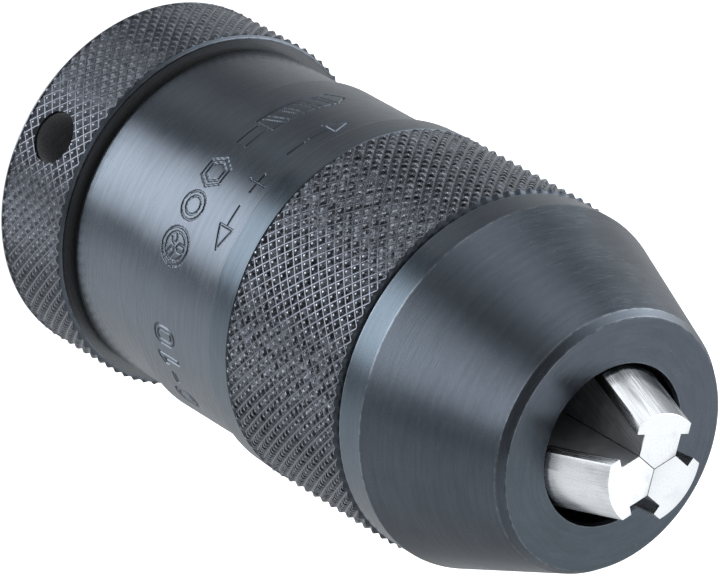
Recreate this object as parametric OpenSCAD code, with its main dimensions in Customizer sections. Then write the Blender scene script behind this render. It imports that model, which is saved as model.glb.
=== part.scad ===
// Self-tightening keyless drill chuck, three jaws, 0 to 10 mm.
// Frame: the chuck stands on its rear face, +Z runs along the axis to the nose,
// the origin is the centre of the rear face. Millimetres.
// The jaws are drawn closed.

/* [Outside] */
// Length from the rear face to the flat face of the nose
face_z = 85.5; // [85.4:0.1:86]
// Height of the jaw tips above the rear face, jaws closed
tip_z = 92.5; // [91:0.1:94]
// Radius over the knurled bands of ring and sleeve
grip_r = 21.6; // [21.5:0.1:22]
// Radius of the marked band of the sleeve
band_r = 20.6; // [20.5:0.05:20.8]
// Radius of the sleeve's plain rear band
rear_r = 20; // [19.9:0.05:20.2]
// Radius of the plain band of the nose
nose_r = 21.4; // [21.2:0.1:21.5]
// Length of the rear ring
ring_len = 12; // [11.5:0.1:12]
// Radius of the spanner hole in the rear ring
spanner_r = 3.1; // [2:0.1:4]
// Direction of the spanner hole around the axis
spanner_az = 162; // [0:1:360]

/* [Jaws] */
// Angle between the jaws' path and the axis
cone_a = 20.5; // [20.4:0.1:20.6]
// Radius of the jaw's back where it leaves the nose
jaw_back_r = 8.92; // [8.8:0.01:9]
// Half width of the jaw's cap
cap_w = 3.7; // [3.4:0.05:3.8]
// Thickness of the jaw's cap
cap_t = 2.15; // [1.8:0.05:2.4]
// Radius of the round back of the cap
back_R = 7.3; // [6.8:0.1:8]
// Half width of the jaw's neck
neck_w = 2.6; // [2.3:0.05:2.6]
// Distance of the gripping edge from the axis, jaws closed
edge_gap = 0.05; // [0.03:0.01:0.2]
// Sliding clearance around the jaws
slip = 0.1; // [0.05:0.01:0.15]

/* [Feed] */
// Pitch of the left-hand feed thread
lead = 2.5; // [2:0.25:3]
// Outer radius of the feed thread
feed_r = 7; // [6:0.1:7]
// Top of the spindle's disc, jaws closed
disc_top = 62; // [61.9:0.05:62.05]

/* [Mount] */
// Radius of the rear mounting hole (core of a 1/2-20 UNF thread)
mount_r = 5.75; // [5:0.05:6]
// Depth of the rear mounting hole
mount_len = 15; // [12:0.5:15]

/* [Bearing] */
// Radius of a bearing ball
ball_r = 1.5; // [1.4:0.05:1.5]
// Radius of the circle of balls
ball_pitch_r = 14.9; // [14.8:0.05:15]
// Number of balls
ball_n = 20; // [12:1:20]

/* [Hidden] */
$fn = 96;

jaw_az = [90, 210, 330];
hub_r = 12.5;            // hub that carries the rear ring
journal_r = 17.2;        // journal that the sleeve turns on
run = 0.06;              // running clearance
bore_r = journal_r + run;
guide_r = 17.85;         // outer radius of the jaw guide
guide_seat_r = 17.9;     // bore of the sleeve around the guide
sleeve_z0 = ring_len + 0.35;
sleeve_z1 = 64.5;
body_top = 41;
guide_z0 = 43.5;
guide_top = 76;
ball_z = 19.15;
disc_r = 14.4;
disc_bot = disc_top - 7;
trim_r = 12.7;           // outside of the jaw's rear part
jaw_rear = disc_top + 0.2;

// radius of the nose's inner cone at a height
function cone_r(z) = jaw_back_r + slip + (face_z - z) * tan(cone_a);
// height at which that cone has a given radius
function cone_z(r) = face_z - (r - jaw_back_r - slip) / tan(cone_a);
// quarter round from angle a0 to a1 about c
function arc(c, r, a0, a1, n) = [for (i = [0:n]) let (a = a0 + (a1 - a0) * i / n) [c[0] + r * cos(a), c[1] + r * sin(a)]];

module turned(pts) { rotate_extrude() polygon(pts); }
module ring(r0, r1, z0, z1) { turned([[r0, z0], [r1, z0], [r1, z1], [r0, z1]]); }
module at_jaws() { for (a = jaw_az) rotate([0, 0, a]) children(); }
// frame on the back of a jaw: x out of the back, z along its path to the tip
module on_path() { translate([jaw_back_r, 0, face_z]) rotate([0, -cone_a, 0]) children(); }

// Body: hub for the ring, shoulder for the bearing, journal, feed thread, mounting thread
module chuck_body() {
  color([0.36, 0.38, 0.41]) difference() {
    turned(concat(
      [[0, 0], [hub_r - 0.5, 0], [hub_r, 0.5], [hub_r, 22], [journal_r - 0.4, 22], [journal_r, 22.4],
       [journal_r, 28], [16.7, 28.5], [16.7, 29.2], [journal_r, 29.6], [journal_r, 30], [15.3, 30], [15.3, 32.1], [journal_r, 32.1],
       [journal_r, 32.5], [16.7, 33], [16.7, 35.5], [journal_r, 36], [journal_r, body_top - 0.5],
       [journal_r - 0.5, body_top], [0, body_top]]));
    translate([0, 0, -1]) cylinder(r = mount_r, h = mount_len + 2);
    translate([0, 0, mount_len]) cylinder(r = 6.6, h = 10);
    translate([0, 0, mount_len + 2.2]) cylinder(r = feed_r + run, h = 40);
    translate([0, 0, body_top - 1]) cylinder(r1 = feed_r + run, r2 = feed_r + run + 1.01, h = 1.01);
    translate([0, 0, -0.01]) cylinder(r1 = mount_r + 0.9, r2 = mount_r, h = 0.9);
    pin_places() cylinder(r = 1.27, h = ring_len);
    // the spanner hole goes on into the hub
    rotate([0, 0, spanner_az]) translate([hub_r - 1.6, 0, 5.6]) rotate([0, 90, 0]) cylinder(r = spanner_r, h = 3);
  }
}

module pin_places() { for (a = [70, 250]) rotate([0, 0, a]) translate([hub_r, 0, 4.9]) children(); }

// Rear ring, held in the hand or with a pin spanner
module spanner_ring() {
  color([0.30, 0.31, 0.34]) difference() {
    turned([[hub_r, 0], [grip_r - 0.3, 0], [grip_r, 0.3], [grip_r, ring_len - 0.5],
            [grip_r - 0.4, ring_len], [hub_r, ring_len]]);
    rotate([0, 0, spanner_az]) translate([hub_r - 1.6, 0, 5.6]) rotate([0, 90, 0]) cylinder(r = spanner_r, h = 20);
    rotate([0, 0, spanner_az]) translate([grip_r - 0.25, 0, 5.6]) rotate([0, 90, 0]) cylinder(r1 = spanner_r, r2 = spanner_r + 0.35, h = 0.35);
    pin_places() cylinder(r = 1.27, h = ring_len);
  }
}

// Pins along the joint of ring and hub
module ring_lock_pins() {
  color("silver") pin_places() translate([0, 0, 0.05]) cylinder(r = 1.25, h = 6.9);
}

// Disc that closes the thread chamber
module chamber_plug() {
  color("silver") translate([0, 0, mount_len]) cylinder(r = 6.58, h = 2);
}

// Thin washer between ring and sleeve
module thrust_washer() { color([0.55, 0.42, 0.22]) ring(hub_r + 0.1, 18.8, ring_len, ring_len + 0.25); }

// Round rubber ring in the journal's groove
module grease_seal() {
  color([0.1, 0.1, 0.1]) rotate_extrude() translate([16.28, 31.05]) circle(r = 0.9, $fn = 32);
}

// Bearing washers, each with a ball track
module race(r0, r1, z0, z1, track_z) {
  difference() {
    ring(r0, r1, z0, z1);
    rotate_extrude() translate([ball_pitch_r, track_z]) circle(r = ball_r + 0.1, $fn = 48);
  }
}
module thrust_race_front() { color([0.75, 0.76, 0.78]) race(hub_r + 0.02, 16.9, 20.35, 22, ball_z - 0.05); }
module thrust_race_rear() { color([0.75, 0.76, 0.78]) race(hub_r + 0.4, bore_r - 0.03, 16.3, 17.95, ball_z + 0.05); }

module ball_places() {
  for (i = [0:ball_n - 1]) rotate([0, 0, i * 360 / ball_n]) translate([ball_pitch_r, 0, ball_z]) children();
}
module thrust_balls() { color([0.8, 0.81, 0.83]) ball_places() sphere(r = ball_r, $fn = 48); }
module ball_cage() {
  color([0.72, 0.56, 0.26]) difference() {
    ring(13, 16.7, ball_z - 0.75, ball_z + 0.75);
    ball_places() translate([0, 0, -2]) cylinder(r = ball_r + 0.06, h = 4, $fn = 48);
  }
}

// Felt ring in the sleeve's rear lip
module dust_seal() { color([0.25, 0.23, 0.2]) ring(hub_r + 0.04, 14.15, 13.6, 15.1); }

// Outer sleeve: rear lip, bearing bore, seat of the guide, thread for the nose
module outer_sleeve() {
  color([0.36, 0.39, 0.44]) difference() {
    turned(concat(
      [[hub_r + run, sleeve_z0], [rear_r - 0.5, sleeve_z0]],
      arc([rear_r - 0.5, sleeve_z0 + 0.5], 0.5, -90, 0, 4),
      [[rear_r, 25], [band_r - 0.15, 25], [band_r, 25.15], [band_r, 39.85], [grip_r - 0.12, 40.75], [grip_r, 43.5],
       [grip_r, sleeve_z1 - 0.5], [grip_r - 0.5, sleeve_z1], [19.35, sleeve_z1], [19.35, 56.6],
       [guide_seat_r, 56.6], [guide_seat_r, 43], [bore_r, 43], [bore_r, 16.3], [hub_r + run, 16.3],
       [hub_r + run, 15.15], [14.2, 15.15], [14.2, 13.55], [hub_r + run, 13.55]]));
    dowel_places() translate([0, 0, -0.05]) cylinder(r = 1.02, h = 6.15, $fn = 32);
  }
}

// Shim that sets the end play of the guide
module guide_shim() { color([0.6, 0.6, 0.62]) ring(14.8, guide_r, 43, 43.5); }

module dowel_places() { for (a = [30, 150, 270]) rotate([0, 0, a]) translate([guide_seat_r, 0, guide_z0 + 0.05]) children(); }
module guide_dowels() { color("silver") dowel_places() cylinder(r = 1, h = 6, $fn = 32); }

// Guide: three inclined T-slots, with a chamber behind them for the spindle's disc
module jaw_guide() {
  color([0.45, 0.46, 0.48]) difference() {
    turned([[0, guide_z0], [guide_r, guide_z0], [guide_r, cone_z(guide_r) - 0.3],
            [cone_r(guide_top) - 0.12, guide_top], [0, guide_top]]);
    translate([0, 0, guide_z0 - 1]) cylinder(r = disc_r + 0.2, h = disc_top + 0.3 - guide_z0 + 1);
    at_jaws() {
      translate([0, -neck_w - slip, 48.5]) cube([30, 2 * (neck_w + slip), 40]);
      intersection() {
        on_path() translate([-cap_t - slip, -cap_w - slip, -60]) cube([20, 2 * (cap_w + slip), 90]);
        translate([-5, -10, 55.4]) cube([40, 20, 40]);
      }
    }
    cylinder(r = 2.2, h = 90);
    dowel_places() translate([0, 0, -1]) cylinder(r = 1.02, h = 7.1, $fn = 32);
  }
}

// Spindle: disc with three radial T-slots on a left-hand threaded stem
module feed_spindle() {
  n = 9;
  z0 = disc_bot - 24;
  color([0.5, 0.51, 0.53]) difference() {
    union() {
      turned(concat([[0, z0], [feed_r - 0.9, z0]],
        [for (i = [0:n - 1]) each [[feed_r - 0.9, z0 + 0.2 + i * lead], [feed_r, z0 + 0.8 + i * lead],
                                   [feed_r, z0 + 1.5 + i * lead], [feed_r - 0.9, z0 + 2.1 + i * lead]]],
        [[feed_r - 0.9, disc_bot - 0.6], [feed_r - 0.3, disc_bot], [disc_r - 0.4, disc_bot], [disc_r, disc_bot + 0.4],
         [disc_r, disc_top - 0.4], [disc_r - 0.4, disc_top], [0, disc_top]]));
    }
    at_jaws() {
      translate([0, -neck_w - slip, disc_bot + 1.6]) cube([20, 2 * (neck_w + slip), 10]);
      translate([0, -neck_w - 1 - slip, disc_bot + 1.6]) cube([20, 2 * (neck_w + 1 + slip), 2.8]);
    }
  }
}

// Jaw lying along +X: T-section, 120 degree gripping edge, T-foot for the spindle
module jaw() {
  intersection() {
    union() {
      on_path() intersection() {
        translate([-cap_t, -cap_w, -60]) cube([cap_t + 1, 2 * cap_w, 90]);
        translate([-back_R, 0, -60]) cylinder(r = back_R, h = 90);
      }
      on_path() translate([-60, -neck_w, -60]) cube([60 - cap_t + 0.2, 2 * neck_w, 120]);
    }
    translate([0, 0, jaw_rear]) linear_extrude(tip_z - jaw_rear)
      polygon([[edge_gap, 0], [40, (40 - edge_gap) * tan(60)], [40, -(40 - edge_gap) * tan(60)]]);
    cylinder(r = trim_r, h = 120);
  }
  translate([2.4, -neck_w, disc_bot + 2]) cube([6.2, 2 * neck_w, jaw_rear - disc_bot - 1.9]);
  translate([2.4, -neck_w - 1, disc_bot + 1.7]) cube([6.2, 2 * neck_w + 2, 2.6]);
}
module jaw_1() { color([0.68, 0.7, 0.72]) rotate([0, 0, jaw_az[0]]) jaw(); }
module jaw_2() { color([0.68, 0.7, 0.72]) rotate([0, 0, jaw_az[1]]) jaw(); }
module jaw_3() { color([0.68, 0.7, 0.72]) rotate([0, 0, jaw_az[2]]) jaw(); }

// Nose: plain band, straight cone, flat face, inner cone that the jaws run in, spigot
module nose_cone() {
  color([0.38, 0.41, 0.46]) turned([
    [19.3, 57], [19.3, sleeve_z1], [nose_r - 0.25, sleeve_z1], [nose_r, sleeve_z1 + 0.35], [nose_r, 68.5],
    [15.4, face_z - 1], [14.75, face_z], [9.45, face_z], [cone_r(face_z - 0.5), face_z - 0.5],
    [guide_seat_r, cone_z(guide_seat_r)], [guide_seat_r, 57]]);
}

chuck_body();
spanner_ring();
ring_lock_pins();
chamber_plug();
thrust_washer();
grease_seal();
thrust_race_front();
thrust_race_rear();
thrust_balls();
ball_cage();
dust_seal();
outer_sleeve();
guide_shim();
jaw_guide();
guide_dowels();
feed_spindle();
jaw_1();
jaw_2();
jaw_3();
nose_cone();
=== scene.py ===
import math

import bmesh
import bpy
import numpy as np
from mathutils import Matrix, Vector


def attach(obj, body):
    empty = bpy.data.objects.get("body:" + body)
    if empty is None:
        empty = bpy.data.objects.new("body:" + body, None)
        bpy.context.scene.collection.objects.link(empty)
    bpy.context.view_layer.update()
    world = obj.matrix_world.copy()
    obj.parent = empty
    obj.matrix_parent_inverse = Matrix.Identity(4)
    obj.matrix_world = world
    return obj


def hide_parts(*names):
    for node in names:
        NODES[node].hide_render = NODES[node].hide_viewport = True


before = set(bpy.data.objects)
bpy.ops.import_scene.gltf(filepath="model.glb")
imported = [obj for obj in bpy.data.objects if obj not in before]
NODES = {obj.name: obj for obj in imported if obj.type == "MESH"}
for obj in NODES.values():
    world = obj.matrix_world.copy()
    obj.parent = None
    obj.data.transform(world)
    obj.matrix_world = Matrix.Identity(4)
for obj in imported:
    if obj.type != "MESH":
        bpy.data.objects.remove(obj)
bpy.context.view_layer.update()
MM = 0.001
scene = bpy.context.scene

# ---------------------------------------------------------------- camera
cam_data = bpy.data.cameras.new("camera")
cam_data.lens = 327.26
cam_data.sensor_width = 36.0
cam_data.sensor_fit = "HORIZONTAL"
cam_data.clip_start, cam_data.clip_end = 0.01, 50.0
cam = bpy.data.objects.new("camera", cam_data)
right, up, back = (0.766098, 0.225176, 0.601990), (0.0, 0.936620, -0.350347), (-0.642728, 0.268397, 0.717544)
rot = Matrix((right, up, back)).transposed()
cam.matrix_world = Matrix.Translation((-0.473657, 0.198800, 0.568692)) @ rot.to_4x4()
scene.collection.objects.link(cam)
scene.camera = cam


# ---------------------------------------------------------------- mesh helpers
def new_object(name, verts, faces, smooth=35.0):
    me = bpy.data.meshes.new(name)
    me.from_pydata([tuple(float(c) * MM for c in v) for v in verts], [], faces)
    me.validate()
    bm = bmesh.new()
    bm.from_mesh(me)
    bmesh.ops.recalc_face_normals(bm, faces=bm.faces)
    bm.to_mesh(me)
    bm.free()
    shade(me, smooth)
    ob = bpy.data.objects.new(name, me)
    scene.collection.objects.link(ob)
    return ob


def shade(me, angle):
    me.polygons.foreach_set("use_smooth", [True] * len(me.polygons))
    me.set_sharp_from_angle(angle=math.radians(angle))
    me.update()


def rounded(pts, radii, seg=4, support=0.12):
    """The open chain pts with each inner corner i rounded at radii[i], and a support point beside each round."""
    out = [pts[0]]
    for i in range(1, len(pts) - 1):
        p0, p, p1 = (np.array(q, float) for q in (pts[i - 1], pts[i], pts[i + 1]))
        r = radii.get(i, 0.0) if isinstance(radii, dict) else radii
        a, b = p0 - p, p1 - p
        la, lb = np.linalg.norm(a), np.linalg.norm(b)
        a, b = a / la, b / lb
        half = math.acos(max(-1, min(1, float(a @ b)))) / 2
        if r <= 0 or half > math.radians(89.5):
            out.append(tuple(p))
            continue
        t = min(r / math.tan(half), 0.42 * la, 0.42 * lb)
        r = t * math.tan(half)
        c = p + (a + b) / np.linalg.norm(a + b) * (r / math.sin(half))
        q0, q1 = p + a * t, p + b * t
        s0 = min(support, 0.3 * (la - t), 0.3 * la)
        s1 = min(support, 0.3 * (lb - t), 0.3 * lb)
        out.append(tuple(q0 + a * s0))
        a0 = math.atan2(*(q0 - c)[::-1])
        a1 = math.atan2(*(q1 - c)[::-1])
        d = (a1 - a0 + math.pi) % (2 * math.pi) - math.pi
        for k in range(seg + 1):
            w = a0 + d * k / seg
            out.append((c[0] + r * math.cos(w), c[1] + r * math.sin(w)))
        out.append(tuple(q1 + b * s1))
    out.append(pts[-1])
    return out


def lathe_rows(chain, cols):
    """Vertices of an open chain (r, z) turned through the angles in cols (degrees), row by row."""
    c, s = np.cos(np.radians(cols)), np.sin(np.radians(cols))
    return [np.stack([r * c, r * s, np.full(len(cols), z)], 1) for r, z in chain]


def grid_faces(first, nrows, ncols):
    f = []
    for i in range(nrows - 1):
        a, b = first + i * ncols, first + (i + 1) * ncols
        for j in range(ncols):
            k = (j + 1) % ncols
            f.append((a + j, a + k, b + k, b + j))
    return f


def zipper(verts, loop_a, loop_b):
    """Triangles between two closed loops of vertex numbers about the Z axis, whatever their counts."""
    ang = lambda i: math.atan2(verts[i][1], verts[i][0]) % (2 * math.pi)
    A, B = sorted(loop_a, key=ang), sorted(loop_b, key=ang)
    i = j = 0
    faces = []
    while i < len(A) or j < len(B):
        na = ang(A[i % len(A)]) + (2 * math.pi if i >= len(A) else 0) if i <= len(A) else 1e9
        nxt_a = ang(A[(i + 1) % len(A)]) + 2 * math.pi * ((i + 1) // len(A))
        nxt_b = ang(B[(j + 1) % len(B)]) + 2 * math.pi * ((j + 1) // len(B))
        if i < len(A) and (j >= len(B) or nxt_a <= nxt_b):
            faces.append((A[i % len(A)], A[(i + 1) % len(A)], B[j % len(B)]))
            i += 1
        else:
            faces.append((A[i % len(A)], B[(j + 1) % len(B)], B[j % len(B)]))
            j += 1
    return faces


def apply_boolean(ob, cutter):
    m = ob.modifiers.new("cut", "BOOLEAN")
    m.operation, m.solver, m.object = "DIFFERENCE", "EXACT", cutter
    bpy.context.view_layer.update()
    me = bpy.data.meshes.new_from_object(ob.evaluated_get(bpy.context.evaluated_depsgraph_get()))
    ob.modifiers.clear()
    old = ob.data
    ob.data = me
    bpy.data.meshes.remove(old)
    bpy.data.objects.remove(cutter)


# ---------------------------------------------------------------- diamond knurl
STARTS = 86
KNURL_R = 21.6
PITCH_S = 2 * math.pi * KNURL_R / STARTS   # round the ring
PITCH_Z = 1.543                            # along the axis
VALLEY_R, TIP_R = 21.43, 21.74


def hash01(i, j):
    x = math.sin(i * 127.1 + j * 311.7) * 43758.5453
    return x - math.floor(x)


def knurl(z0, z1):
    """Vertices (r, angle, z) and faces of a band of cut pyramids between z0 and z1, with its two edge loops."""
    g, t = 0.05, 0.425
    brk = [0.0, g, t, 1 - t, 1 - g, 1.0]
    ht = {0: 0, 1: 0, 2: 1, 3: 1, 4: 0, 5: 0}
    W = STARTS * PITCH_S
    verts, faces, index = [], [], {}

    def vert(u, v, h):
        key = (round(u, 4), round(v, 4))
        if key not in index:
            index[key] = len(verts)
            verts.append((PITCH_S * (u + v) / 2, PITCH_Z * (u - v) / 2, h))
        return index[key]

    kz = int(math.ceil(max(abs(z0), abs(z1)) / (PITCH_Z / 2))) + 2
    for n in range(-2, 2 * STARTS + 2):      # i + j
        for m in range(int(z0 / (PITCH_Z / 2)) - 2, int(z1 / (PITCH_Z / 2)) + 3):   # i - j
            if (n + m) % 2:
                continue
            i, j = (n + m) // 2, (n - m) // 2
            hh = hash01((i + 7) % STARTS + 0.37 * m, m)
            top = 1.0 - 0.12 * hh
            ids = {}
            for a in range(6):
                for b in range(6):
                    h = min(ht[a], ht[b]) * top
                    ids[a, b] = vert(i + brk[a], j + brk[b], h)
            for a in range(5):
                for b in range(5):
                    q = (ids[a, b], ids[a + 1, b], ids[a + 1, b + 1], ids[a, b + 1])
                    hs = [min(ht[a + x], ht[b + y]) for x, y in ((0, 0), (1, 0), (1, 1), (0, 1))]
                    if a in (1, 3) and b in (1, 3):
                        # corner of the pyramid: split along the ridge
                        if hs[0] != hs[2]:
                            faces += [(q[0], q[1], q[2]), (q[0], q[2], q[3])]
                        else:
                            faces += [(q[1], q[2], q[3]), (q[1], q[3], q[0])]
                    else:
                        faces.append(q)
    me = bpy.data.meshes.new("flat")
    me.from_pydata(verts, [], faces)
    bm = bmesh.new()
    bm.from_mesh(me)
    bpy.data.meshes.remove(me)
    for co, no in (((0, z0, 0), (0, -1, 0)), ((0, z1, 0), (0, 1, 0)), ((0, 0, 0), (-1, 0, 0)), ((W, 0, 0), (1, 0, 0))):
        bmesh.ops.bisect_plane(bm, geom=bm.verts[:] + bm.edges[:] + bm.faces[:], dist=1e-5,
                               plane_co=co, plane_no=no, clear_outer=True)
    bm.verts.ensure_lookup_table()
    pts = np.array([v.co[:] for v in bm.verts])
    ang = pts[:, 0] / W * 2 * math.pi
    rad = VALLEY_R + pts[:, 2] * (TIP_R - VALLEY_R)
    for v, a, r, z in zip(bm.verts, ang, rad, pts[:, 1]):
        v.co = (r * math.cos(a), r * math.sin(a), z)
    bmesh.ops.remove_doubles(bm, verts=bm.verts, dist=1e-4)
    bm.verts.ensure_lookup_table()
    bm.verts.index_update()
    V = [tuple(v.co) for v in bm.verts]
    F = [tuple(v.index for v in f.verts) for f in bm.faces]
    low = [v.index for v in bm.verts if abs(v.co.z - z0) < 2e-5 + 1e-4 and any(len(e.link_faces) == 1 for e in v.link_edges)]
    high = [v.index for v in bm.verts if abs(v.co.z - z1) < 2e-5 + 1e-4 and any(len(e.link_faces) == 1 for e in v.link_edges)]
    bm.free()
    return V, F, low, high


def crisp_knurl(me, z0, z1):
    """Keep the facets of a knurl flat: mark its edges sharp."""
    bm = bmesh.new()
    bm.from_mesh(me)
    for e in bm.edges:
        if all(z0 * MM < v.co.z < z1 * MM and math.hypot(v.co.x, v.co.y) > (VALLEY_R - 0.01) * MM for v in e.verts):
            if len(e.link_faces) == 2 and e.calc_face_angle(0) > math.radians(9):
                e.smooth = False
    bm.to_mesh(me)
    bm.free()


# ---------------------------------------------------------------- engraved marks on the sleeve
# every mark is a set of strokes; a stroke is a list of (s, z) points in mm, s measured round the band
BAND_R = 20.6


def s_of(az):
    return math.radians(az) * BAND_R


def poly(cx, cz, pts, closed=True, scale=1.0):
    q = [(cx + scale * x, cz + scale * z) for x, z in pts]
    return q + [q[0]] if closed else q


def circle_pts(r, n=40, a0=0.0, a1=360.0):
    return [(r * math.cos(math.radians(a0 + (a1 - a0) * k / n)), r * math.sin(math.radians(a0 + (a1 - a0) * k / n)))
            for k in range(n + 1)]


strokes = []


def arrow(az, z, direction):
    """Outlined arrow: a shaft and an open triangle."""
    c, d = s_of(az), direction
    strokes.append([(c - d * 2.9, z), (c - d * 0.2, z)])
    strokes.append([(c - d * 0.2, z - 1.15), (c + d * 2.6, z), (c - d * 0.2, z + 1.15), (c - d * 0.2, z - 1.15)])


# opening direction, and the sign beside it
arrow(159.7, 37.5, 1)
pc = s_of(142.5)
strokes.append([(pc - 1.25, 37.5), (pc + 1.25, 37.5)])
strokes.append([(pc, 36.25), (pc, 38.75)])
# closing direction
arrow(112.0, 37.5, -1)
mc = s_of(126.0)
strokes.append([(mc - 1.25, 37.5), (mc + 1.25, 37.5)])
for base in (279.7, 39.7):   # the same pair again, a third of the way round each way
    arrow(base, 37.5, 1)
    q = s_of(base - 17.2)
    strokes.append([(q - 1.25, 37.5), (q + 1.25, 37.5)])
    strokes.append([(q, 36.25), (q, 38.75)])

# clamping range, 0-10, in outlined figures whose tops point to the rear; they are read towards falling azimuth
GL = 3.6      # height of a figure
ZT = 29.2     # its top edge
ZC = ZT + GL / 2


def outline_rect(s0, s1, z0, z1, rr=0.5):
    pts = []
    for cx, cz, a0 in ((s1 - rr, z1 - rr, 0), (s0 + rr, z1 - rr, 90), (s0 + rr, z0 + rr, 180), (s1 - rr, z0 + rr, 270)):
        for k in range(6):
            a = math.radians(a0 + 90 * k / 5)
            pts.append((cx + rr * math.cos(a), cz + rr * math.sin(a)))
    return pts + [pts[0]]


def figure_zero(s, w=2.4):
    strokes.append(outline_rect(s - w / 2, s + w / 2, ZT, ZT + GL, 1.15))
    strokes.append(outline_rect(s - w / 2 + 0.6, s + w / 2 - 0.6, ZT + 0.6, ZT + GL - 0.6, 0.55))


def figure_one(s):
    strokes.append(poly(s, ZT + GL, [(-x, -y) for x, y in
                                     ((-0.3, 0), (0.32, 0), (0.32, 3.6), (-0.15, 3.6), (-1.0, 2.85), (-1.0, 2.2), (-0.3, 2.7))]))


def figure_dash(s):
    strokes.append(outline_rect(s - 0.75, s + 0.75, ZC - 0.26, ZC + 0.26, 0.1))


figure_zero(s_of(228.5))
figure_dash(s_of(219.5))
figure_one(s_of(211.5))
figure_zero(s_of(203.0))

# plain signs for what it holds: the chuck from the front, a round shank, a hexagon shank, a twist drill
pic = s_of(172.5)
strokes.append(poly(pic, ZC, circle_pts(2.2), closed=False))
strokes.append(poly(pic, ZC, circle_pts(1.62), closed=False))
for a in (90, 210, 330):
    ca, sa = math.cos(math.radians(a)), math.sin(math.radians(a))
    strokes.append([(pic + rr * ca - w * sa, ZC + rr * sa + w * ca)
                    for rr, w in ((1.5, 0.4), (0.62, 0.4), (0.3, 0.0), (0.62, -0.4), (1.5, -0.4))])
pic = s_of(158.5)
strokes.append(poly(pic, ZC, circle_pts(1.75), closed=False))
strokes.append(poly(pic, ZC, circle_pts(1.1), closed=False))
pic = s_of(146.0)
strokes.append(poly(pic, ZC, circle_pts(1.95, 6), closed=False))
strokes.append(poly(pic, ZC, circle_pts(1.3, 6), closed=False))
d0, d1, d2, d3 = (s_of(a) for a in (134.5, 124.5, 98.0, 93.0))
strokes.append([(d1, ZC - 0.8), (d0, ZC - 0.8), (d0, ZC + 0.8), (d1, ZC + 0.8)])
strokes.append([(d1, ZC - 1.5), (d1, ZC + 1.5), (d2, ZC + 1.5), (d3, ZC), (d2, ZC - 1.5), (d1, ZC - 1.5)])
for k in range(4):
    q = d1 - 0.5 - 2.25 * k
    for off in (0.0, 0.75):
        strokes.append([(q - off, ZC - 1.5), (q - off - 0.45, ZC - 0.7), (q - off - 1.05, ZC + 0.7), (q - off - 1.5, ZC + 1.5)])


def engrave(S, Z, depth=0.13, half=0.075, soft=0.09):
    """Depth of the engraving at points (S, Z), 0 where there's none."""
    out = np.zeros_like(S)
    period = 2 * math.pi * BAND_R
    for st in strokes:
        st = np.array(st, float)
        for p, q in zip(st[:-1], st[1:]):
            lo_s, hi_s = min(p[0], q[0]) - 0.5, max(p[0], q[0]) + 0.5
            for shift in (0.0, period, -period):
                m = (S + shift > lo_s) & (S + shift < hi_s) & (Z > min(p[1], q[1]) - 0.5) & (Z < max(p[1], q[1]) + 0.5)
                if not m.any():
                    continue
                x, z = S[m] + shift - p[0], Z[m] - p[1]
                d = q - p
                L = float(d @ d) or 1e-9
                t = np.clip((x * d[0] + z * d[1]) / L, 0, 1)
                dist = np.hypot(x - t * d[0], z - t * d[1])
                w = np.clip((half + soft - dist) / soft, 0, 1)
                w = w * w * (3 - 2 * w)
                out[m] = np.maximum(out[m], w)
    return out * depth


# ---------------------------------------------------------------- outer sleeve
def build_sleeve():
    cols = sorted(set(
        [round(a, 3) for a in np.arange(0, 360, 1.0)]
        + [round(a, 3) for a in np.arange(86, 236, 0.25)]
        + [round(a, 3) for a in np.arange(266, 292, 0.25)]
        + [round(a, 3) for a in np.arange(18, 52, 0.25)]))
    nc = len(cols)
    rows_mark = [(BAND_R, z) for z in np.arange(27.9, 39.05, 0.09)]
    lead_in = rounded([(12.56, 13.5), (12.56, 12.35), (20.0, 12.35), (20.0, 24.98), (20.44, 24.98), (BAND_R, 25.14), (BAND_R, 27.6)],
                      {1: 0.2, 2: 0.9, 3: 0.08, 4: 0.0, 5: 0.06})
    flare = rounded([(BAND_R, 39.2), (BAND_R, 39.85), (21.48, 40.75), (21.62, 44.32), (21.54, 44.40)], {1: 0.25, 2: 0.2, 3: 0.04})
    inner = rounded([(21.02, 64.36), (20.75, 64.5), (19.35, 64.5), (19.35, 56.6), (17.9, 56.6), (17.9, 43.0), (17.26, 43.0),
                     (17.26, 16.3), (12.56, 16.3), (12.56, 15.15), (14.2, 15.15), (14.2, 13.55), (12.56, 13.55), (12.56, 13.5)],
                    {1: 0.08, 2: 0.1, 3: 0.1, 5: 0.1, 7: 0.1})
    # one open chain: from in front of the knurl, through the inside and the rear, to the back of the knurl
    chain = inner[:-1] + lead_in + rows_mark + flare
    rows = lathe_rows(chain, cols)
    S = np.radians(np.array(cols)) * BAND_R
    for i, (r, z) in enumerate(chain):
        if abs(r - BAND_R) < 1e-6 and 27.8 < z < 39.1:
            dep = engrave(S, np.full(nc, z))
            c, s = np.cos(np.radians(cols)), np.sin(np.radians(cols))
            rows[i] = np.stack([(r - dep) * c, (r - dep) * s, np.full(nc, z)], 1)
    V = [tuple(p) for row in rows for p in row]
    F = grid_faces(0, len(chain), nc)
    kv, kf, low, high = knurl(44.5, 64.0)
    off = len(V)
    V += kv
    F += [tuple(i + off for i in f) for f in kf]
    last = [(len(chain) - 1) * nc + j for j in range(nc)]
    first = list(range(nc))
    F += zipper(V, last, [i + off for i in low])
    F += zipper(V, [i + off for i in high], first)
    ob = new_object("sleeve_skin", V, F, 32)
    crisp_knurl(ob.data, 44.45, 64.05)
    return ob


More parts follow.
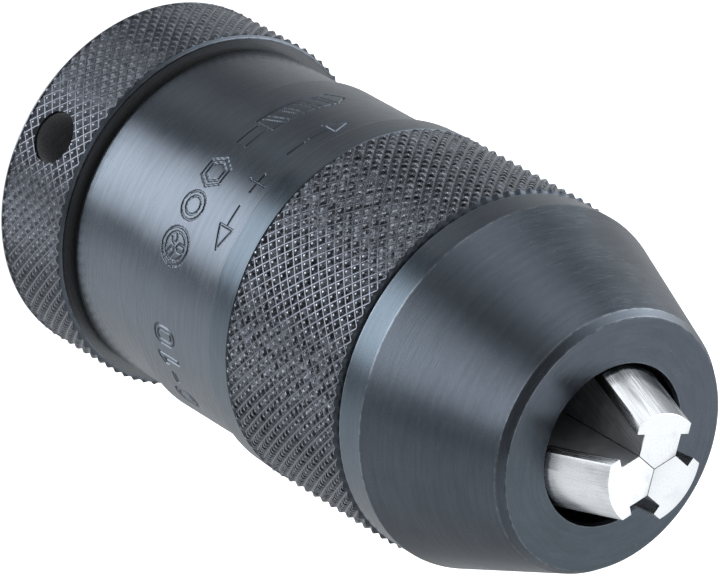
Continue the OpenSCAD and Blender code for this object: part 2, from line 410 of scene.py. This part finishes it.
# ---------------------------------------------------------------- rear ring
def build_ring():
    cols = list(np.arange(0, 360, 1.0))
    nc = len(cols)
    chain = rounded([(21.44, 11.60), (21.2, 12.0), (12.5, 12.0), (12.5, 0.0), (21.3, 0.0), (21.62, 0.32), (21.62, 0.5)],
                    {1: 0.1, 2: 0.15, 3: 0.25, 4: 0.1, 5: 0.08})
    V = [tuple(p) for row in lathe_rows(chain, cols) for p in row]
    F = grid_faces(0, len(chain), nc)
    kv, kf, low, high = knurl(0.6, 11.5)
    off = len(V)
    V += kv
    F += [tuple(i + off for i in f) for f in kf]
    F += zipper(V, [(len(chain) - 1) * nc + j for j in range(nc)], [i + off for i in low])
    F += zipper(V, [i + off for i in high], list(range(nc)))
    ob = new_object("ring_skin", V, F, 32)
    # spanner hole with a small countersink
    prof = rounded([(0.0, -6.0), (3.1, -6.0), (3.1, 4.6), (4.1, 5.6), (4.1, 6.5), (0.0, 6.5)], {2: 0.15}, support=0.05)
    n = 72
    V, F = [], []
    for r, z in prof[1:-1]:
        V += [(r * math.cos(2 * math.pi * k / n), r * math.sin(2 * math.pi * k / n), z) for k in range(n)]
    F = grid_faces(0, len(prof) - 2, n)
    F.append(tuple(range(n))[::-1])
    F.append(tuple(range((len(prof) - 3) * n, (len(prof) - 2) * n)))
    cut = new_object("cutter", V, F, 32)
    az = math.radians(162.0)
    d = Vector((math.cos(az), math.sin(az), 0))
    z_to_d = Vector((0, 0, 1)).rotation_difference(d).to_matrix().to_4x4()
    cut.data.transform(Matrix.Translation(d * 16.75 * MM + Vector((0, 0, 5.6 * MM))) @ z_to_d)
    apply_boolean(ob, cut)
    shade(ob.data, 32)
    crisp_knurl(ob.data, 0.55, 11.55)
    return ob


# ---------------------------------------------------------------- nose
def build_nose():
    cols = list(np.arange(0, 360, 1.0))
    T = math.tan(math.radians(20.5))
    cone = lambda z: 9.02 + (85.5 - z) * T
    z_end = 85.5 - (17.9 - 9.02) / T
    chain = rounded([(18.6, 57.0), (19.0, 57.0), (19.3, 57.3), (19.3, 64.5), (20.95, 64.5), (21.4, 64.92), (21.4, 68.5), (15.4, 84.5),
                     (14.75, 85.5), (9.47, 85.5), (cone(84.95), 84.95), (17.9, z_end), (17.9, 57.0), (18.6, 57.0)],
                    {3: 0.05, 4: 0.05, 5: 0.1, 6: 0.22, 7: 0.12, 8: 0.10, 9: 0.06, 10: 0.08, 11: 0.3, 12: 0.2})
    chain = chain[:-1]
    nc = len(cols)
    V = [tuple(p) for row in lathe_rows(chain, cols) for p in row]
    F = grid_faces(0, len(chain), nc)
    a = (len(chain) - 1) * nc
    F += [(a + j, a + (j + 1) % nc, (j + 1) % nc, j) for j in range(nc)]
    return new_object("nose_skin", V, F, 32)


# ---------------------------------------------------------------- jaws
def build_jaw(node):
    src = NODES[node].data
    bm = bmesh.new()
    bm.from_mesh(src)
    bmesh.ops.remove_doubles(bm, verts=bm.verts, dist=2e-6)
    bmesh.ops.dissolve_limit(bm, angle_limit=math.radians(0.6), verts=bm.verts, edges=bm.edges)
    bmesh.ops.recalc_face_normals(bm, faces=bm.faces)
    edges = [e for e in bm.edges if len(e.link_faces) == 2 and e.calc_face_angle(0) > math.radians(25)
             and max(v.co.z for v in e.verts) > 0.066]
    bmesh.ops.bevel(bm, geom=edges, offset=0.00024, offset_type="OFFSET", segments=3, profile=0.5,
                    affect="EDGES", clamp_overlap=True, harden_normals=False)
    bmesh.ops.triangulate(bm, faces=[f for f in bm.faces if len(f.verts) > 4])
    me = bpy.data.meshes.new(node + "_bevelled")
    bm.to_mesh(me)
    bm.free()
    shade(me, 20)
    ob = bpy.data.objects.new(node + "_bevelled", me)
    scene.collection.objects.link(ob)
    return ob


# ---------------------------------------------------------------- materials
class Tree:
    """Short names for building node materials."""

    def __init__(self, name, slot_color=(0.3, 0.3, 0.3)):
        self.mat = bpy.data.materials.new(name)
        self.mat.use_nodes = True
        self.nt = self.mat.node_tree
        self.nt.nodes.clear()
        self.out = self.n("ShaderNodeOutputMaterial")
        self.bsdf = self.n("ShaderNodeBsdfPrincipled")
        self.nt.links.new(self.bsdf.outputs[0], self.out.inputs[0])
        tc = self.n("ShaderNodeTexCoord")
        self.obj = tc.outputs["Object"]
        sep = self.n("ShaderNodeSeparateXYZ")
        self.nt.links.new(self.obj, sep.inputs[0])
        self.x, self.y, self.z = sep.outputs
        self.mat.diffuse_color = (*slot_color, 1)

    def n(self, kind, **kw):
        node = self.nt.nodes.new(kind)
        for k, v in kw.items():
            setattr(node, k, v)
        return node

    def put(self, sock, v):
        if isinstance(v, bpy.types.NodeSocket):
            self.nt.links.new(v, sock)
        else:
            sock.default_value = v

    def math(self, op, a, b=None, c=None, clamp=False):
        m = self.n("ShaderNodeMath", operation=op, use_clamp=clamp)
        self.put(m.inputs[0], a)
        if b is not None:
            self.put(m.inputs[1], b)
        if c is not None:
            self.put(m.inputs[2], c)
        return m.outputs[0]

    def radius(self):
        return self.math("SQRT", self.math("ADD", self.math("MULTIPLY", self.x, self.x), self.math("MULTIPLY", self.y, self.y)))

    def azimuth(self):
        return self.math("ARCTAN2", self.y, self.x)

    def vec(self, x, y, z):
        c = self.n("ShaderNodeCombineXYZ")
        for s, v in zip(c.inputs, (x, y, z)):
            self.put(s, v)
        return c.outputs[0]

    def noise(self, vec, scale=1.0, detail=2.0, rough=0.5, dim="3D"):
        t = self.n("ShaderNodeTexNoise", noise_dimensions=dim)
        self.put(t.inputs["Vector"], vec)
        t.inputs["Scale"].default_value = scale
        t.inputs["Detail"].default_value = detail
        t.inputs["Roughness"].default_value = rough
        return t.outputs["Fac"]

    def ramp(self, v, lo, hi, a=0.0, b=1.0, smooth=True):
        m = self.n("ShaderNodeMapRange", interpolation_type="SMOOTHSTEP" if smooth else "LINEAR", clamp=True)
        self.put(m.inputs["Value"], v)
        m.inputs["From Min"].default_value, m.inputs["From Max"].default_value = lo, hi
        m.inputs["To Min"].default_value, m.inputs["To Max"].default_value = a, b
        return m.outputs["Result"]

    def mix(self, f, a, b, blend="MIX"):
        m = self.n("ShaderNodeMix", data_type="RGBA", blend_type=blend)
        self.put(m.inputs[0], f)
        self.put(m.inputs[6], a if isinstance(a, bpy.types.NodeSocket) else (*a, 1))
        self.put(m.inputs[7], b if isinstance(b, bpy.types.NodeSocket) else (*b, 1))
        return m.outputs[2]

    def bump(self, height, dist, strength=1.0, normal=None):
        b = self.n("ShaderNodeBump")
        b.inputs["Strength"].default_value = strength
        b.inputs["Distance"].default_value = dist
        self.put(b.inputs["Height"], height)
        if normal is not None:
            self.put(b.inputs["Normal"], normal)
        return b.outputs[0]

    def set(self, **kw):
        names = {"base": "Base Color", "rough": "Roughness", "metal": "Metallic", "normal": "Normal", "tangent": "Tangent",
                 "aniso": "Anisotropic", "aniso_rot": "Anisotropic Rotation", "spec": "Specular IOR Level",
                 "coat": "Coat Weight", "coat_rough": "Coat Roughness"}
        for k, v in kw.items():
            s = self.bsdf.inputs[names[k]]
            self.put(s, (*v, 1) if k == "base" and not isinstance(v, bpy.types.NodeSocket) else v)
        return self.mat


def turned_lines(t, along, around):
    """Turning marks: noise stretched round the axis."""
    r, a = t.radius(), t.azimuth()
    return t.noise(t.vec(t.math("MULTIPLY", r, along), t.math("MULTIPLY", t.z, along), t.math("MULTIPLY", a, around)), 1.0, 3.0, 0.6)


def blued(name, dark, light, rough=0.24, aniso=0.5, lines=1.0, edge=None, metal=1.0):
    t = Tree(name, light)
    fine = turned_lines(t, 7000, 9)
    mid = turned_lines(t, 1800, 2.5)
    blot = t.noise(t.obj, 95, 3.0, 0.55)
    tone = t.math("ADD", t.math("MULTIPLY", t.ramp(blot, 0.3, 0.7), 0.55), t.math("MULTIPLY", t.ramp(mid, 0.3, 0.7), 0.45))
    base = t.mix(tone, dark, light)
    base = t.mix(t.math("MULTIPLY", t.ramp(fine, 0.62, 0.80), 0.45 * lines), base, (0.15, 0.165, 0.18))
    if edge is not None:
        base = t.mix(edge(t), base, (0.22, 0.235, 0.25))
    # painted shade on the nose band between 64.9 and 68.5 mm
    base = painted_shade_band(t, base, 0.0649, 0.0685, 0.0212)
    # painted shade: the end face is a little darker towards one side
    s = t.math("ADD", t.math("MULTIPLY", t.x, -0.42), t.math("MULTIPLY", t.y, -0.91))
    f = t.math("MULTIPLY", t.ramp(s, -0.002, 0.010), t.ramp(t.z, 0.08530, 0.08545))
    base = t.mix(f, base, t.mix(1.0, base, (0.81, 0.84, 0.83), "MULTIPLY"))
    rg = t.math("ADD", t.ramp(fine, 0.25, 0.75, rough - 0.05, rough + 0.07), t.ramp(blot, 0.35, 0.7, -0.02, 0.04))
    grain = t.noise(t.obj, 5200, 2.0, 0.6)
    base = t.mix(t.ramp(grain, 0.25, 0.75, 0.0, 0.22), base, t.mix(1.0, base, (0.55, 0.55, 0.55), "MULTIPLY"))
    base = t.mix(1.0, base, (1.05, 1.05, 1.05), "MULTIPLY")
    n = t.bump(t.math("ADD", t.math("ADD", fine, t.math("MULTIPLY", mid, 0.6)), t.math("MULTIPLY", grain, 0.5)), 0.000006 * lines)
    tan = t.n("ShaderNodeTangent", direction_type="RADIAL", axis="Z")
    return t.set(base=base, rough=rg, metal=metal, normal=n, aniso=aniso, aniso_rot=0.25, tangent=tan.outputs[0])


def worn_edges(places, amount=0.4):
    """Bright worn lines at corners (r, z) in mm, broken up by noise."""
    def f(t):
        r, wear = t.radius(), t.ramp(t.noise(t.obj, 900, 3.0, 0.6), 0.35, 0.62)
        out = None
        for rr, zz, half in places:
            d = t.math("SQRT", t.math("ADD", t.math("POWER", t.math("SUBTRACT", r, rr * MM), 2.0),
                                      t.math("POWER", t.math("SUBTRACT", t.z, zz * MM), 2.0)))
            m = t.ramp(d, half * MM * 0.3, half * MM, 1.0, 0.0)
            out = m if out is None else t.math("MAXIMUM", out, m)
        return t.math("MULTIPLY", out, t.math("MULTIPLY", wear, amount))
    return f


def painted_shade_band(t, base, z_lo, z_hi, r_min):
    """Painted shade: the colour is darkened between two heights, outside r_min, fading out on one side of the axis
    (azimuth about 100 to 139 degrees).
    """
    inside = t.math("MULTIPLY", t.ramp(t.z, z_lo, z_lo + 0.0002), t.ramp(t.z, z_hi - 0.0002, z_hi, 1.0, 0.0))
    inside = t.math("MULTIPLY", inside, t.math("GREATER_THAN", t.radius(), r_min))
    unshaded_side = t.math("MULTIPLY", t.ramp(t.azimuth(), 1.75, 1.95), t.ramp(t.azimuth(), 2.32, 2.42, 1.0, 0.0))
    f = t.math("MULTIPLY", inside, t.math("SUBTRACT", 1.0, unshaded_side))
    return t.mix(f, base, t.mix(1.0, base, (0.76, 0.83, 0.85), "MULTIPLY"))


def knurled(name, dark, light, tip, edge=None, inner_metal=1.0, contrast=1.0):
    """Blued steel whose look follows the radius: oily valleys, satin flanks, tips rubbed bright. Plain bands stay satin."""
    t = Tree(name, light)
    r = t.radius()
    fine = turned_lines(t, 7000, 9)
    mid = turned_lines(t, 1800, 2.5)
    blot = t.noise(t.obj, 95, 3.0, 0.55)
    grit = t.noise(t.obj, 4200, 3.0, 0.6)
    in_knurl = t.math("GREATER_THAN", t.z, 0.04446)
    ring = t.math("LESS_THAN", t.z, 0.01152)
    k = t.math("MAXIMUM", in_knurl, ring)
    k = t.math("MULTIPLY", k, t.math("MULTIPLY", t.math("LESS_THAN", t.z, 0.06402), t.math("GREATER_THAN", r, 0.0213)))
    # painted shade on the plain flare band between 39.9 and 44.46 mm, before the knurl
    plain_zone = lambda b: painted_shade_band(t, b, 0.0399, 0.04446, 0.02065)
    depth = t.ramp(r, 0.02144, 0.02149, 0.0, 1.0)
    tips = t.math("MULTIPLY", t.ramp(r, 0.02165, 0.02170, 0.0, 1.0), t.ramp(t.noise(t.obj, 700, 2.0, 0.5), 0.3, 0.6, 0.35, 1.0))
    plain = t.mix(t.math("ADD", t.math("MULTIPLY", t.ramp(blot, 0.3, 0.7), 0.55), t.math("MULTIPLY", t.ramp(mid, 0.3, 0.7), 0.45)), dark, light)
    plain = t.mix(t.math("MULTIPLY", t.ramp(fine, 0.62, 0.80), 0.35), plain, (0.15, 0.165, 0.18))
    if edge is not None:
        plain = t.mix(edge(t), plain, (0.22, 0.235, 0.25))
    plain = plain_zone(plain)
    patch = t.noise(t.obj, 1100, 1.0, 0.5)
    lo, hi = (tuple(v * (1 - 0.84 * contrast) for v in (0.080, 0.085, 0.097)), tuple(v * (1 + 0.12 * contrast) for v in (0.090, 0.096, 0.109)))
    flank = t.mix(t.ramp(t.math("ADD", t.math("MULTIPLY", grit, 0.5), t.math("MULTIPLY", patch, 0.5)), 0.43, 0.58), lo, hi)
    kn = t.mix(depth, tuple(v * (1 + 0.15 * contrast) for v in (0.086, 0.091, 0.105)), flank)
    kn = t.mix(t.math("MULTIPLY", tips, 0.9), kn, tip)
    base = t.mix(k, plain, kn)
    # painted light: on the ring (inner_metal below 1), the faces inside the outer skin (the front face in the recess
    # behind the sleeve, the bore and the spanner hole) get a lighter grey and less metal so they read brighter than
    # their shade
    painted_light_inside = t.ramp(r, 0.02090, 0.02110, 1.0, 0.0)
    if inner_metal < 1.0:
        face = t.math("GREATER_THAN", t.z, 0.0118)
        base = t.mix(painted_light_inside, base, t.mix(face, (0.22, 0.218, 0.222), (0.115, 0.117, 0.120)))
    rp = t.math("ADD", t.ramp(fine, 0.25, 0.75, 0.19, 0.31), t.ramp(blot, 0.35, 0.7, -0.02, 0.04))
    rk = t.ramp(grit, 0.3, 0.7, 0.17, 0.32)
    m = t.n("ShaderNodeMix", data_type="FLOAT")
    t.put(m.inputs[0], k)
    t.put(m.inputs[2], rp)
    t.put(m.inputs[3], rk)
    hgt = t.math("ADD", t.math("MULTIPLY", t.math("ADD", fine, t.math("MULTIPLY", mid, 0.6)), t.math("SUBTRACT", 1.0, k)),
                 t.math("MULTIPLY", grit, t.math("MULTIPLY", k, 6.0 * contrast)))
    hgt = t.math("ADD", hgt, t.math("MULTIPLY", patch, t.math("MULTIPLY", k, 20.0 * contrast)))
    n = t.bump(hgt, 0.000006)
    tan = t.n("ShaderNodeTangent", direction_type="RADIAL", axis="Z")
    metal = 1.0
    if inner_metal < 1.0:
        metal = t.math("SUBTRACT", 1.0, t.math("MULTIPLY", painted_light_inside, t.math("SUBTRACT", 1.0 - inner_metal, t.math("MULTIPLY", face, 0.3))))
    return t.set(base=base, rough=m.outputs[0], metal=metal, normal=n, aniso=0.4, aniso_rot=0.25, tangent=tan.outputs[0])


def ground(name, azimuth_deg, base_c=(0.74, 0.745, 0.75), rough=0.27, shade_side=0.0):
    """Ground steel: fine scratches along the jaw's path."""
    t = Tree(name, base_c)
    a = math.radians(azimuth_deg)
    s, c = math.sin(math.radians(20.5)), math.cos(math.radians(20.5))
    ux, uy = math.cos(a), math.sin(a)
    path = (-s * ux, -s * uy, c)
    out = (c * ux, c * uy, s)
    side = (-uy, ux, 0.0)

    def dot(v):
        return t.math("ADD", t.math("ADD", t.math("MULTIPLY", t.x, v[0]), t.math("MULTIPLY", t.y, v[1])), t.math("MULTIPLY", t.z, v[2]))
    p, o, q = dot(path), dot(out), dot(side)
    fine = t.noise(t.vec(t.math("MULTIPLY", q, 9000), t.math("MULTIPLY", o, 9000), t.math("MULTIPLY", p, 260)), 1.0, 3.0, 0.6)
    cloud = t.noise(t.obj, 420, 3.0, 0.55)
    base = t.mix(t.ramp(fine, 0.3, 0.7), tuple(0.80 * v for v in base_c), base_c)
    base = t.mix(t.math("MULTIPLY", t.ramp(cloud, 0.5, 0.75), 0.35), base, (0.48, 0.49, 0.50))
    # painted shade: the neck and the flanks near the axis, where shade falls between the jaws and the nose, are
    # darkened; the cap and the end are ground bright
    painted_shade_neck = t.math("MULTIPLY", t.ramp(o, 0.03605, 0.03615, 1.0, 0.0), t.ramp(t.z, 0.09232, 0.09238, 1.0, 0.0))
    base = t.mix(painted_shade_neck, base, t.mix(t.ramp(cloud, 0.35, 0.7), (0.17, 0.172, 0.18), (0.24, 0.243, 0.25)))
    if shade_side:
        # painted shade: the back of this jaw is darkened towards one side and towards the bore
        back = t.math("MULTIPLY", t.ramp(o, 0.0375, 0.0380), t.ramp(t.z, 0.09232, 0.09238, 1.0, 0.0))
        streak = t.math("MULTIPLY", t.math("SUBTRACT", fine, 0.5), 0.0030)
        painted_shade_mask = t.math("MAXIMUM", t.ramp(t.math("ADD", q, streak), 0.0034, -0.0010, 0.0, 1.0),
                       t.math("MULTIPLY", t.ramp(t.math("ADD", p, streak), 0.0802, 0.0774, 0.0, 1.0), 0.8))
        base = t.mix(t.math("MULTIPLY", t.math("MULTIPLY", painted_shade_mask, back), shade_side), base, (0.065, 0.067, 0.070))
    rg = t.ramp(fine, 0.25, 0.75, rough - 0.07, rough + 0.08)
    rg = t.math("ADD", rg, t.math("MULTIPLY", painted_shade_neck, 0.12))
    hgt = t.math("MULTIPLY", fine, t.math("SUBTRACT", 1.0, t.math("MULTIPLY", painted_shade_neck, 0.7)))
    metal = t.math("SUBTRACT", 1.0, t.math("MULTIPLY", painted_shade_neck, 0.55))
    return t.set(base=base, rough=rg, metal=metal, normal=t.bump(hgt, 0.0000028))


def plain_metal(name, color, rough, scale=600, bump=0.00001, metal=1.0):
    t = Tree(name, color)
    n1 = t.noise(t.obj, scale, 4.0, 0.6)
    lines = turned_lines(t, 3500, 5)
    base = t.mix(t.ramp(n1, 0.3, 0.7), tuple(0.82 * v for v in color), color)
    rg = t.ramp(lines, 0.25, 0.75, rough - 0.06, rough + 0.08)
    return t.set(base=base, rough=rg, metal=metal, normal=t.bump(t.math("ADD", n1, lines), bump))


def soft_stuff(name, color, rough, scale):
    t = Tree(name, color)
    n1 = t.noise(t.obj, scale, 5.0, 0.7)
    base = t.mix(t.ramp(n1, 0.3, 0.7), tuple(0.6 * v for v in color), color)
    return t.set(base=base, rough=t.ramp(n1, 0.3, 0.7, rough - 0.08, rough + 0.08), metal=0.0, normal=t.bump(n1, 0.00008))


DARK, LIGHT = (0.062, 0.070, 0.083), (0.082, 0.0935, 0.109)
M_nose = blued("blued_steel_turned", DARK, LIGHT, 0.22, 0.5, 1.3,
               worn_edges([(21.4, 68.5, 0.22), (15.4, 84.5, 0.2), (14.75, 85.5, 0.22), (9.47, 85.5, 0.15), (21.4, 64.92, 0.2)], 0.32))
# painted light: the body is a light, mostly diffuse grey (metal 0.1) instead of dark blued steel, so the bore and the
# spanner hole read brighter than their shade
M_body_painted_light = blued("blued_steel_body", (0.24, 0.235, 0.24), (0.30, 0.295, 0.30), 0.5, 0.1, 1.0, metal=0.1)
M_sleeve = knurled("blued_steel_knurled_sleeve", DARK, LIGHT, (0.27, 0.275, 0.30),
                   worn_edges([(20.0, 12.4, 0.25)], 0.2))
# the ring's inner faces get painted light (inner_metal 0.25)
M_ring = knurled("blued_steel_knurled_ring", DARK, LIGHT, (0.19, 0.20, 0.22), worn_edges([(21.2, 12.0, 0.2), (21.62, 0.32, 0.2)], 0.3), 0.25, 0.45)
M_steel = plain_metal("turned_steel", (0.50, 0.51, 0.53), 0.32)
M_guide = plain_metal("guide_steel", (0.20, 0.21, 0.23), 0.40)
M_race = plain_metal("bearing_steel", (0.72, 0.73, 0.75), 0.12, 300, 0.000003)
M_brass = plain_metal("cage_brass", (0.72, 0.52, 0.24), 0.28)
M_bronze = plain_metal("washer_bronze", (0.50, 0.36, 0.20), 0.38)
M_rubber = soft_stuff("seal_rubber", (0.02, 0.02, 0.022), 0.55, 1500)
M_felt = soft_stuff("seal_felt", (0.16, 0.14, 0.11), 0.92, 2600)


def give(ob, mat):
    ob.data.materials.clear()
    ob.data.materials.append(mat)


for node, mat in {
    "chuck_body": M_body_painted_light, "ring_lock_pins": M_steel, "chamber_plug": M_steel, "thrust_washer": M_bronze,
    "grease_seal": M_rubber, "thrust_race_front": M_race, "thrust_race_rear": M_race, "thrust_balls": M_race,
    "ball_cage": M_brass, "dust_seal": M_felt, "guide_shim": M_steel, "jaw_guide": M_guide, "guide_dowels": M_steel,
    "feed_spindle": M_steel,
}.items():
    give(NODES[node], mat)

# ---------------------------------------------------------------- pieces
sleeve = build_sleeve()
give(sleeve, M_sleeve)
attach(sleeve, "sleeve")
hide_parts("outer_sleeve")

ring = build_ring()
give(ring, M_ring)
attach(ring, "chuck")
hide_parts("spanner_ring")

nose = build_nose()
give(nose, M_nose)
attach(nose, "sleeve")
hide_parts("nose_cone")

for node, body, az in (("jaw_1", "jaw_a", 90), ("jaw_2", "jaw_b", 210), ("jaw_3", "jaw_c", 330)):
    j = build_jaw(node)
    # painted light: jaw_2 gets a brighter ground colour (0.90) than the other two jaws (0.74), a lit copy of the same
    # steel
    give(j, ground("ground_steel_" + node, az, (0.74, 0.745, 0.75) if node != "jaw_2" else (0.90, 0.905, 0.91),
                   rough=0.17 if node == "jaw_1" else 0.27, shade_side=1.0 if node == "jaw_1" else 0.0))
    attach(j, body)
    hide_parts(node)

# ---------------------------------------------------------------- stage
me = bpy.data.meshes.new("floor")
me.from_pydata([(-6, -6, 0), (6, -6, 0), (6, 6, 0), (-6, 6, 0)], [], [(0, 1, 2, 3)])
floor = bpy.data.objects.new("floor", me)
scene.collection.objects.link(floor)
ft = Tree("floor_pale", (0.9, 0.9, 0.9))
ft.set(base=(0.86, 0.86, 0.86), rough=0.9, metal=0.0)
ft.bsdf.inputs["Emission Color"].default_value = (1, 1, 1, 1)
ft.bsdf.inputs["Emission Strength"].default_value = 0.9
give(floor, ft.mat)
floor.location.z = -0.00005
floor.visible_glossy = False
floor.visible_shadow = False

# studio light: soft panels all round, given by direction
world = bpy.data.worlds.new("studio")
scene.world = world
world.use_nodes = True
wt = world.node_tree
wt.nodes.clear()


def wnode(kind, **kw):
    n = wt.nodes.new(kind)
    for k, v in kw.items():
        setattr(n, k, v)
    return n


def wmath(op, a, b=None, clamp=False):
    m = wnode("ShaderNodeMath", operation=op, use_clamp=clamp)
    for s, v in zip(m.inputs, (a, b)):
        if v is None:
            continue
        if isinstance(v, bpy.types.NodeSocket):
            wt.links.new(v, s)
        else:
            s.default_value = v
    return m.outputs[0]


wtc = wnode("ShaderNodeTexCoord")
wsep = wnode("ShaderNodeSeparateXYZ")
wt.links.new(wtc.outputs["Generated"], wsep.inputs[0])
wx, wy, wz = wsep.outputs
waz = wmath("MULTIPLY", wmath("ARCTAN2", wy, wx), 180 / math.pi)         # -180..180
wu = wmath("FRACT", wmath("DIVIDE", wmath("ADD", waz, 360.0 + 15.0), 360.0))   # 0 at azimuth -15
wel = wmath("MULTIPLY", wmath("ARCSINE", wz), 180 / math.pi)


def panel_ramp(stops):
    """Brightness round the horizon, from (azimuth, value) stops."""
    n = wnode("ShaderNodeValToRGB")
    n.color_ramp.interpolation = "LINEAR"
    pts = sorted((((a + 15.0) % 360.0) / 360.0, v) for a, v in stops)
    el = n.color_ramp.elements
    while len(el) < len(pts):
        el.new(0.5)
    for e, (p, v) in zip(el, pts):
        e.position = p
        e.color = (v, v, v, 1)
    wt.links.new(wu, n.inputs[0])
    sep = wnode("ShaderNodeSeparateColor")
    wt.links.new(n.outputs[0], sep.inputs[0])
    return sep.outputs[0]


# brightness along four bands of height: below, the low panels, the high panels, overhead
LOW = panel_ramp([(-20, 0.36), (-5, 0.58), (19, 0.67), (43, 0.70), (55, 0.58), (67, 0.48), (79, 0.51), (91, 0.71), (103, 0.85), (115, 0.55),
                  (127, 0.50), (133, 1.5), (139, 3.7), (151, 5.5), (163, 5.9), (175, 5.5), (187, 3.8), (193, 1.4), (199, 0.75), (211, 1.36),
                  (223, 1.85), (247, 1.70), (271, 1.2), (295, 0.80), (319, 0.50), (331, 0.36)])
MIDB = panel_ramp([(-20, 0.42), (15, 0.47), (24, 0.56), (34, 0.71), (43, 0.76), (53, 0.70), (62, 0.65), (72, 0.74), (81, 1.15), (91, 1.58),
                   (101, 1.60), (111, 1.25), (121, 0.78), (131, 0.50), (141, 0.85), (152, 1.85), (162, 2.45), (172, 2.9), (182, 2.5),
                   (192, 0.98), (203, 0.63), (212, 0.89), (232, 1.0), (251, 0.95), (280, 0.55), (298, 0.38)])
HIGHB = panel_ramp([(-34, 0.15), (-13, 0.27), (0, 0.7), (12, 1.1), (26, 2.5), (42, 4.4), (58, 3.3), (76, 2.1), (94, 0.95), (114, 0.34),
                    (134, 0.22), (176, 0.24), (197, 0.36), (216, 0.68), (235, 0.78), (253, 0.88), (270, 0.75), (286, 0.78), (300, 0.68), (313, 0.32)])
HIGHER = panel_ramp([(-14, 0.5), (84, 0.5), (104, 0.24), (210, 0.24), (230, 0.5), (344, 0.5)])
# the heights at which the low panels begin and end, which vary round the room
EDGE1 = panel_ramp([(-20, 0.50), (15, 0.51), (72, 0.59), (157, 0.65), (242, 0.59), (289, 0.53), (330, 0.50)])
EDGE2 = panel_ramp([(-23, 0.55), (12, 0.63), (42, 0.755), (76, 0.86), (94, 0.90), (114, 0.94), (157, 0.97), (200, 0.94), (220, 0.90), (238, 0.86),
                    (272, 0.755), (302, 0.63)])


def wlerp(f, a, b):
    m = wnode("ShaderNodeMix", data_type="FLOAT")
    for s, v in ((m.inputs[0], f), (m.inputs[2], a), (m.inputs[3], b)):
        if isinstance(v, bpy.types.NodeSocket):
            wt.links.new(v, s)
        else:
            s.default_value = v
    return m.outputs[0]


def wstep(v, lo, hi):
    m = wnode("ShaderNodeMapRange", interpolation_type="SMOOTHSTEP", clamp=True)
    wt.links.new(v, m.inputs["Value"])
    m.inputs["From Min"].default_value, m.inputs["From Max"].default_value = lo, hi
    return m.outputs["Result"]


def edge_deg(e):
    """0..1 stands for -90..+10 degrees."""
    return wmath("SUBTRACT", wmath("MULTIPLY", e, 100.0), 90.0)


env = wlerp(wstep(wel, -89, -80), 0.8, LOW)
env = wlerp(wstep(wmath("SUBTRACT", wel, edge_deg(EDGE1)), -7, 7), env, MIDB)
env = wlerp(wstep(wmath("SUBTRACT", wel, edge_deg(EDGE2)), -4, 4), env, HIGHB)
env = wlerp(wstep(wel, 27, 38), env, HIGHER)
env = wlerp(wstep(wel, 62, 80), env, 0.9)
# one wide soft panel overhead, opposite the viewer, which the flat end faces show
dx, dy, dz = 0.6416, -0.2697, 0.7181
front = wmath("ADD", wmath("ADD", wmath("MULTIPLY", wx, dx), wmath("MULTIPLY", wy, dy)), wmath("MULTIPLY", wz, dz))
env = wlerp(wstep(front, 0.80, 0.97), env, 1.5)
wcol = wnode("ShaderNodeCombineColor")
for s, k in zip(wcol.inputs, (0.96, 1.0, 1.04)):
    wt.links.new(wmath("MULTIPLY", env, k), s)
bg1 = wnode("ShaderNodeBackground")
wt.links.new(wcol.outputs[0], bg1.inputs[0])
bg1.inputs[1].default_value = 1.0
bg2 = wnode("ShaderNodeBackground")
bg2.inputs[0].default_value = (1, 1, 1, 1)
bg2.inputs[1].default_value = 1.0
lp = wnode("ShaderNodeLightPath")
mixs = wnode("ShaderNodeMixShader")
wt.links.new(lp.outputs["Is Camera Ray"], mixs.inputs[0])
wt.links.new(bg1.outputs[0], mixs.inputs[1])
wt.links.new(bg2.outputs[0], mixs.inputs[2])
wo = wnode("ShaderNodeOutputWorld")
wt.links.new(mixs.outputs[0], wo.inputs[0])
scene.view_settings.view_transform = "Standard"
scene.view_settings.look = "None"
